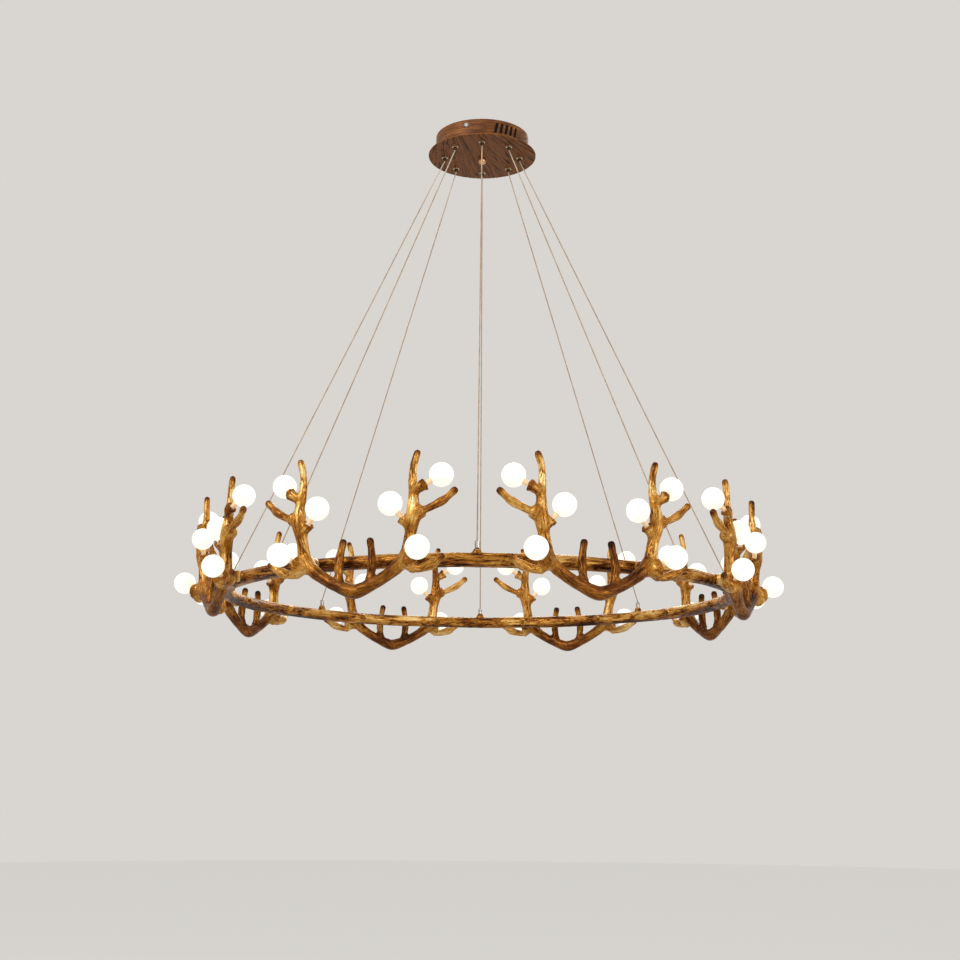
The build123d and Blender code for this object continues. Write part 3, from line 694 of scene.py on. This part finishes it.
# Stations along each limb of one antler, which the pair's other antler mirrors: along the
# tangent, outward from the ring's centreline, above the ring's plane, and radius, in mm.
beam = [(0, 32, -53.5, 12.4), (43, 32, -37.5, 10.5), (69, 32, -22.5, 10.6), (87, 32, -7, 11.8),
        (96, 32, 9, 11.2), (101, 33, 34, 9.6), (107, 36, 64, 12.4), (107, 34, 92, 9.4),
        (103.5, 31, 137, 5.7), (105.5, 31, 158, 5.3), (111.5, 30, 178, 4.6)]
side_tine = [(107, 35, 68, 9), (124, 34, 77, 7.2), (144, 31, 84, 5.8), (164, 25, 97, 5.3),
             (179, 22, 111, 4.9)]
lower_tine = [(91, 36, -10, 9.5), (109, 37, -18.5, 7.8), (128, 34, -18.5, 6.6), (149, 33, -10.5, 5.5),
              (163, 37, 0, 4.5)]
inner_tine = [(29.5, 32, -36, 9.2), (30, 32, -26, 7), (31, 31, -7, 5.7), (28.5, 29, 15, 5.3),
              (25, 28, 35, 4.9)]
upper_socket = [(106, 33, 106, 9), (126.5, 32, 120, 9.2)]
lower_socket = [(105, 36, 50, 9), (88.5, 37, 64.5, 9.2)]
outward_socket = [(94, 35, -6, 9), (106, 43.5, -2.5, 9.2)]
lug = [(91, 32, 0, 10), (91, 6, 0, 10)]
tined_limbs = [beam, side_tine, lower_tine, inner_tine]
sockets = [upper_socket, lower_socket, outward_socket]

# Where the casting's finish changes, in mm: along the beam from the pair's middle, from a
# limb's end, by the gap to the next limb's surface, and along a tine from its root.
yoke_start, yoke_end = 65.0, 105.0
tip_length, dark_tip, mouth_length = 22, 13, 7
crease_start, crease_end = 1, 10
root_start, root_full, root_fade, root_end = 12, 20, 28, 44
bark_offset = 37.0
pair_count = 8


def limb_values(points, limbs):
    """For each point, in the nearest limb's own frame: the length along it, the two ways
    across it, how far it is from that limb's end, which limb it is, and the gap to its plain
    surface. The last value is how much farther the next limb's surface is."""
    rows = []
    for index, limb in enumerate(limbs):
        stations = np.array(limb, dtype=float)
        lengths = np.linalg.norm(np.diff(stations[:, :3], axis=0), axis=1)
        best = np.full(len(points), np.inf)
        row = np.zeros((len(points), 6))
        befores = np.cumsum(lengths) - lengths
        for first, last, before, length in zip(stations, stations[1:], befores, lengths):
            way = (last[:3] - first[:3]) / length
            share = np.clip((points - first[:3]) @ way / length, 0, 1)
            offset = points - first[:3] - np.outer(share, last[:3] - first[:3])
            gap = np.linalg.norm(offset, axis=1) - first[3] - share * (last[3] - first[3])
            # A limb that runs straight outward has no side of its own, and its side stays zero.
            side = np.cross(way, (0, 1, 0))
            side /= max(np.linalg.norm(side), 0.05)
            along = before + share * length
            values = np.stack([along, offset @ side, offset @ np.cross(way, side), lengths.sum() - along,
                               np.full(len(points), index), gap], axis=1)
            nearer = gap < best
            best[nearer] = gap[nearer]
            row[nearer] = values[nearer]
        rows.append(row)
    rows = np.array(rows)
    gaps = rows[:, :, 5]
    nearest = gaps.argmin(axis=0)
    apart = gaps - gaps.min(axis=0)
    count = len(limbs) // 2
    halves = (np.arange(len(limbs))[:, None] % count == 0) & (nearest % count == 0)[None, :]
    apart[halves] = np.inf
    apart[nearest, np.arange(len(points))] = np.inf
    return rows[nearest, np.arange(len(points))], apart.min(axis=0)


def antler_skin():
    """The first pair's casting, carved, in the pair's own place. Calm, plump and dark follow
    the limbs: the yoke and the tips are smoother and darker, the yoke's dark being painted
    shade under the ring, a tine's root is plumper, and each limb has its own stretch of the
    bark."""
    skin = remeshed(fine_skin, "antler_pair_1")
    points = points_of(skin)
    turn = radians(180 / pair_count)
    tangent = points[:, 0] * cos(turn) + points[:, 1] * sin(turn)
    outward = points[:, 0] * sin(turn) - points[:, 1] * cos(turn) - ring_radius
    local = np.stack([tangent, outward, points[:, 2] - ring_level], axis=1)
    half = tined_limbs + sockets + [lug]
    limbs = half + [[(-t, r, z, size) for t, r, z, size in limb] for limb in half]
    values, next_gap = limb_values(local, limbs)
    along, side, other, left, limb = values[:, :5].T
    kind = limb.astype(int) % len(half)
    yoke = (kind == half.index(beam)) * (1 - smoothed(along, yoke_start, yoke_end))
    tined = kind < len(tined_limbs)
    tine = tined * (kind != half.index(beam))
    tip = tined * (1 - smoothed(left, 0, tip_length))
    mouth = (~tined & (kind != half.index(lug))) * (1 - smoothed(left, 0, mouth_length))
    crease = (1 - smoothed(next_gap, crease_start, crease_end)) * (1 - mouth) * (kind != half.index(lug))
    root = smoothed(along, root_start, root_full) * (1 - smoothed(along, root_fade, root_end))
    mark(skin, "grain", np.stack([along, limb * bark_offset, side], axis=1))
    mark(skin, "cross", other)
    mark(skin, "calm", np.clip(0.75 * yoke + 0.5 * tip + 0.7 * crease + mouth + 0.5 * tine, 0, 1))
    mark(skin, "plump", 0.5 * (1 - yoke) + 0.7 * tip + tine * (0.4 + 1.3 * root))
    mark(skin, "soften", crease)
    mark(skin, "rim", mouth)
    # Dark is painted shade on the yoke and in the creases, and a darker tone on the tips, round the socket
    # mouths and on the inner tines.
    mark(skin, "dark", np.clip(0.4 * yoke + 0.55 * tined * (1 - smoothed(left, 0, dark_tip))
                               + 0.35 * mouth + 0.15 * crease
                               + 0.3 * (kind == half.index(inner_tine)), 0, 1))
    return grown(skin, carve_along_the_grain, "antler_skin", grain_length=75.0, groove_width=8.0,
                 groove_depth=1.1 * MM, groove_sharpness=0.04, flute_depth=4.5 * MM,
                 rim_depth=1.8 * MM, material=painted_bark("cast_resin_antler", 65, 4.0, bark_stops))


first_antlers = antler_skin()
for number in range(1, pair_count + 1):
    antlers = first_antlers.copy()
    antlers.data = first_antlers.data.copy()
    antlers.name = antlers.data.name = f"forked_antlers_{number}"
    antlers.data.transform(Matrix.Rotation(radians(360 / pair_count * (number - 1)), 4, "Z"))
    bpy.context.scene.collection.objects.link(antlers)
    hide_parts(f"antler_pair_{number}")
    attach(antlers, "ring")
bpy.data.objects.remove(first_antlers)

# ---------------------------------------------------------------------------------------
# Antler mount screws, driven from inside the ring. Steel, browned so that it disappears
# against the bark.

dress(worn_metal("browned_steel", "5E3A16", "8E6026", 0.45, 0.65, 3), "antler_mount_screws")

# ---------------------------------------------------------------------------------------
# Lamps: a steatite holder in each socket, a cream moulded base on its blade, and a frosted
# glass globe, which is lit. Light reaches the base too, so it glows a little.

holder_glaze = moulded_plastic("glazed_steatite", "E4DCCB", "CFC4AE", 0.3, 1.5)
for number in range(1, pair_count + 1):
    dress(holder_glaze, f"lamp_holders_{number}")


def glowing(name, colour, rough, strength, warm, cool, cloud_size):
    """A lit translucent piece whose glow drifts between two near colours, in clouds of that
    many mm."""
    material, tree, shader = finish(name, Base_Color=linear(colour), Roughness=rough,
                                    Emission_Strength=strength)
    place = add(tree, "ShaderNodeTexCoord").outputs["Object"]
    cloud = add(tree, "ShaderNodeTexNoise",
                {"Vector": place, "Scale": 1 / (cloud_size * MM), "Detail": 1.0})
    tone = add(tree, "ShaderNodeValToRGB", {0: cloud.outputs[0]}, stops=[(0.3, warm), (0.7, cool)])
    tree.links.new(tone.outputs[0], shader.inputs["Emission Color"])
    return material


frosted_glass = glowing("lit_frosted_glass", "9A968E", 0.35, 0.9, "FFF6E4", "FFFDF6", 30)
lit_cream = glowing("lit_cream_moulding", "E0C49C", 0.4, 0.35, "DDAE78", "EECB9C", 8)
for number in range(1, pair_count + 1):
    dress(lit_cream, f"lamp_necks_{number}")
    dress(frosted_glass, f"lamp_globes_{number}")

# ---------------------------------------------------------------------------------------
# The room: a plain pale floor far below, soft even light, and the photograph's camera, which
# stands below the ring and looks up at it.

photo_width = 960
focal_pixels = 1460.6
sensor_width = 36.0
sight_limit = 50
camera_side = -5.2 * MM
camera_back = 2907.0 * MM
camera_below_ring = 355.4 * MM
camera_yaw, camera_pitch, camera_roll = 0.0020, 0.20128, 0.00768
ring_turn = radians(0.5)

lens = bpy.data.cameras.new("photo_camera")
lens.sensor_width = sensor_width
lens.lens = focal_pixels * sensor_width / photo_width
lens.clip_end = sight_limit
camera = bpy.data.objects.new("photo_camera", lens)
bpy.context.scene.collection.objects.link(camera)
ahead = Vector((sin(camera_yaw) * cos(camera_pitch), cos(camera_yaw) * cos(camera_pitch),
                sin(camera_pitch)))
level_right = Vector((cos(camera_yaw), -sin(camera_yaw), 0))
level_up = level_right.cross(ahead)
right = level_right * cos(camera_roll) + level_up * sin(camera_roll)
up = level_up * cos(camera_roll) - level_right * sin(camera_roll)
stand = Matrix((right, up, -ahead)).transposed().to_4x4()
stand.translation = (camera_side, -camera_back, ring_level * MM - camera_below_ring)
camera.matrix_world = Matrix.Rotation(ring_turn, 4, "Z") @ stand
bpy.context.scene.camera = camera


def seen_directly(tree):
    """1 for a ray from the camera, off a gloss or through glass, and 0 for one that lights."""
    path = add(tree, "ShaderNodeLightPath").outputs
    either = add(tree, "ShaderNodeMath", {0: path["Is Camera Ray"], 1: path["Is Glossy Ray"]},
                 operation="MAXIMUM")
    return add(tree, "ShaderNodeMath", {0: either.outputs[0], 1: path["Is Transmission Ray"]},
               operation="MAXIMUM").outputs[0]


def backdrop(name, lit, seen, strength):
    """A surface that lights the object in one colour and adds another one for the eye."""
    material = bpy.data.materials.new(name)
    material.use_nodes = True
    tree = material.node_tree
    tree.nodes.clear()
    matte = add(tree, "ShaderNodeBsdfDiffuse", {"Color": linear(lit)})
    glow = add(tree, "ShaderNodeEmission", {"Color": linear(seen), "Strength": strength})
    pale = add(tree, "ShaderNodeAddShader", {0: matte.outputs[0], 1: glow.outputs[0]})
    mixed = add(tree, "ShaderNodeMixShader",
                {0: seen_directly(tree), 1: matte.outputs[0], 2: pale.outputs[0]})
    add(tree, "ShaderNodeOutputMaterial", {"Surface": mixed.outputs[0]})
    return material


floor_level, floor_radius, floor_corners = -2.3, 15, 90
floor_mesh = bpy.data.meshes.new("floor")
floor_angles = [radians(360 / floor_corners) * corner for corner in range(floor_corners)]
floor_mesh.from_pydata([(floor_radius * cos(angle), floor_radius * sin(angle), floor_level)
                        for angle in floor_angles], [], [tuple(range(floor_corners))])
floor = bpy.data.objects.new("floor", floor_mesh)
bpy.context.scene.collection.objects.link(floor)
floor_mesh.materials.append(backdrop("pale_floor", "B6B6B6", "DDDBDA", 0.45))

world = bpy.data.worlds.new("soft_room")
bpy.context.scene.world = world
world.use_nodes = True
world_tree = world.node_tree
world_tree.nodes.clear()
room = add(world_tree, "ShaderNodeBackground", {"Color": linear("F6F2EA"), "Strength": 0.75})
wall = add(world_tree, "ShaderNodeBackground", {"Color": linear("D9D5D0"), "Strength": 1.0})
mixed = add(world_tree, "ShaderNodeMixShader",
            {0: seen_directly(world_tree), 1: room.outputs[0], 2: wall.outputs[0]})
add(world_tree, "ShaderNodeOutputWorld", {"Surface": mixed.outputs[0]})


def soft_light(name, place, size, power):
    """A large square lamp aimed at the ring's middle."""
    light = bpy.data.lights.new(name, "AREA")
    light.size = size
    light.energy = power
    lamp = bpy.data.objects.new(name, light)
    bpy.context.scene.collection.objects.link(lamp)
    lamp.location = place
    aim = Vector((0, 0, ring_level * MM)) - Vector(place)
    lamp.rotation_euler = aim.to_track_quat("-Z", "Y").to_euler()


light_size = 2.0
soft_light("key", (-2.4, -3.0, 1.2), light_size, 90)
soft_light("fill", (2.8, -2.6, -0.6), light_size, 40)
soft_light("back", (0.6, 3.4, 0.9), light_size, 50)

bpy.context.scene.view_settings.view_transform = "Standard"
